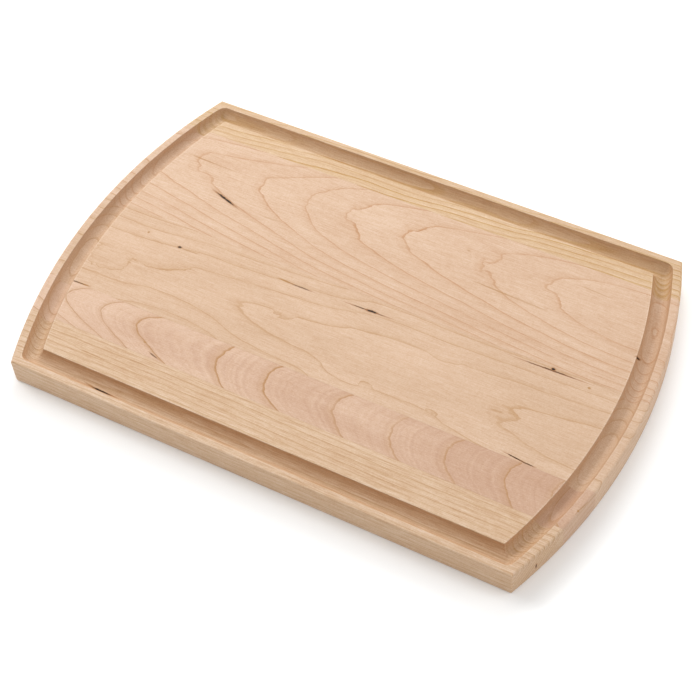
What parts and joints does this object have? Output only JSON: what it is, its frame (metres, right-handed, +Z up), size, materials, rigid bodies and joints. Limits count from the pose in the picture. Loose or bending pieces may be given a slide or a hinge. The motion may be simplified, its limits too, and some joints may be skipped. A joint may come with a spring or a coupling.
{
  "type": "cutting board",
  "caption": "Flat rectangular wooden board with bowed ends, glued up from long staves, with a half-round juice groove around the top near its edge.",
  "frame": {"origin": "middle of the underside", "axes": "+X along the board's length and grain, +Y across it towards the back long side, +Z up out of the grooved face"},
  "size_m": [0.4064, 0.2666, 0.02],
  "materials": {
    "front_edge_stave": "satin",
    "front_inner_stave": "satin",
    "middle_stave": "satin",
    "back_inner_stave": "satin",
    "back_edge_stave": "satin"
  },
  "bodies": {
    "root": {"front_edge_stave": "front_edge_stave", "front_inner_stave": "front_inner_stave", "middle_stave": "middle_stave", "back_inner_stave": "back_inner_stave", "back_edge_stave": "back_edge_stave"}
  },
  "joints": []
}
